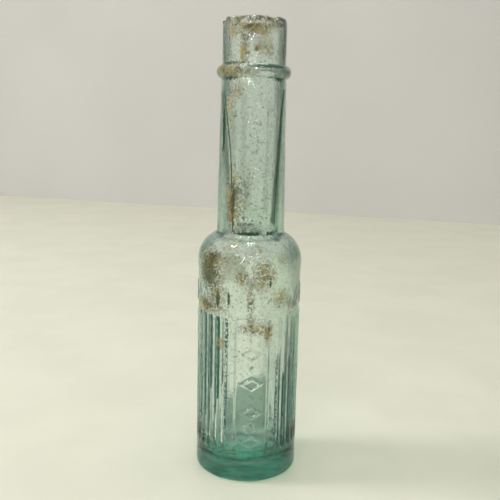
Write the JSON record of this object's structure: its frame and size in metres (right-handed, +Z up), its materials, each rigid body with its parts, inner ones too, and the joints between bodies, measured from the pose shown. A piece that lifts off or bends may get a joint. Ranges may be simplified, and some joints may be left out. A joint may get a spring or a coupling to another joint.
{
  "type": "glass bottle",
  "caption": "Round long-necked bottle of thick aqua glass with a fluted body, two smooth panels, a ringed neck and a flaked, stopperless lip; holds liquids.",
  "frame": {"origin": "middle of the foot, on the surface that the bottle stands on", "axes": "+Z up along the bottle's axis, the front panel faces -Y, +X to the right of that panel"},
  "size_m": [0.0384, 0.0384, 0.165],
  "materials": {
    "aqua_glass": "smooth, faintly pitted aqua glass"
  },
  "bodies": {
    "root": {"bottle": "aqua_glass"}
  },
  "joints": []
}
